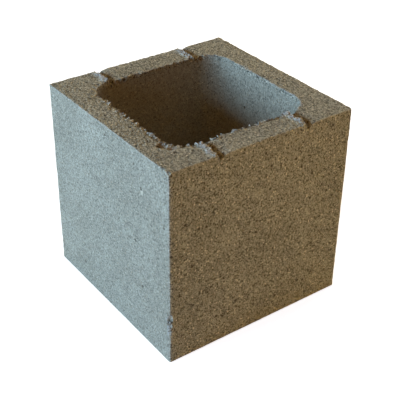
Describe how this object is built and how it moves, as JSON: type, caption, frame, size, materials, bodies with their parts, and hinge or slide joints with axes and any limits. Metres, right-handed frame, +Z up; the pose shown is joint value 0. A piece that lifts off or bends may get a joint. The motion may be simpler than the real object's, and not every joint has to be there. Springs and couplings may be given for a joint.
{
  "type": "hollow concrete pillar block",
  "caption": "Square hollow concrete block for pillars, open from top to underside, with a rounded, drafted core cell and core-bar marks across its top.",
  "frame": {"origin": "middle of the underside, on the floor the block stands on", "axes": "+Z up along the open cell, +X and +Y square to the sides, the core-bar marks running along Y"},
  "size_m": [0.19, 0.19, 0.19],
  "materials": {
    "concrete": "cast, fine open sandy texture with small pits"
  },
  "bodies": {
    "root": {"pillar_block": "concrete"}
  },
  "joints": []
}
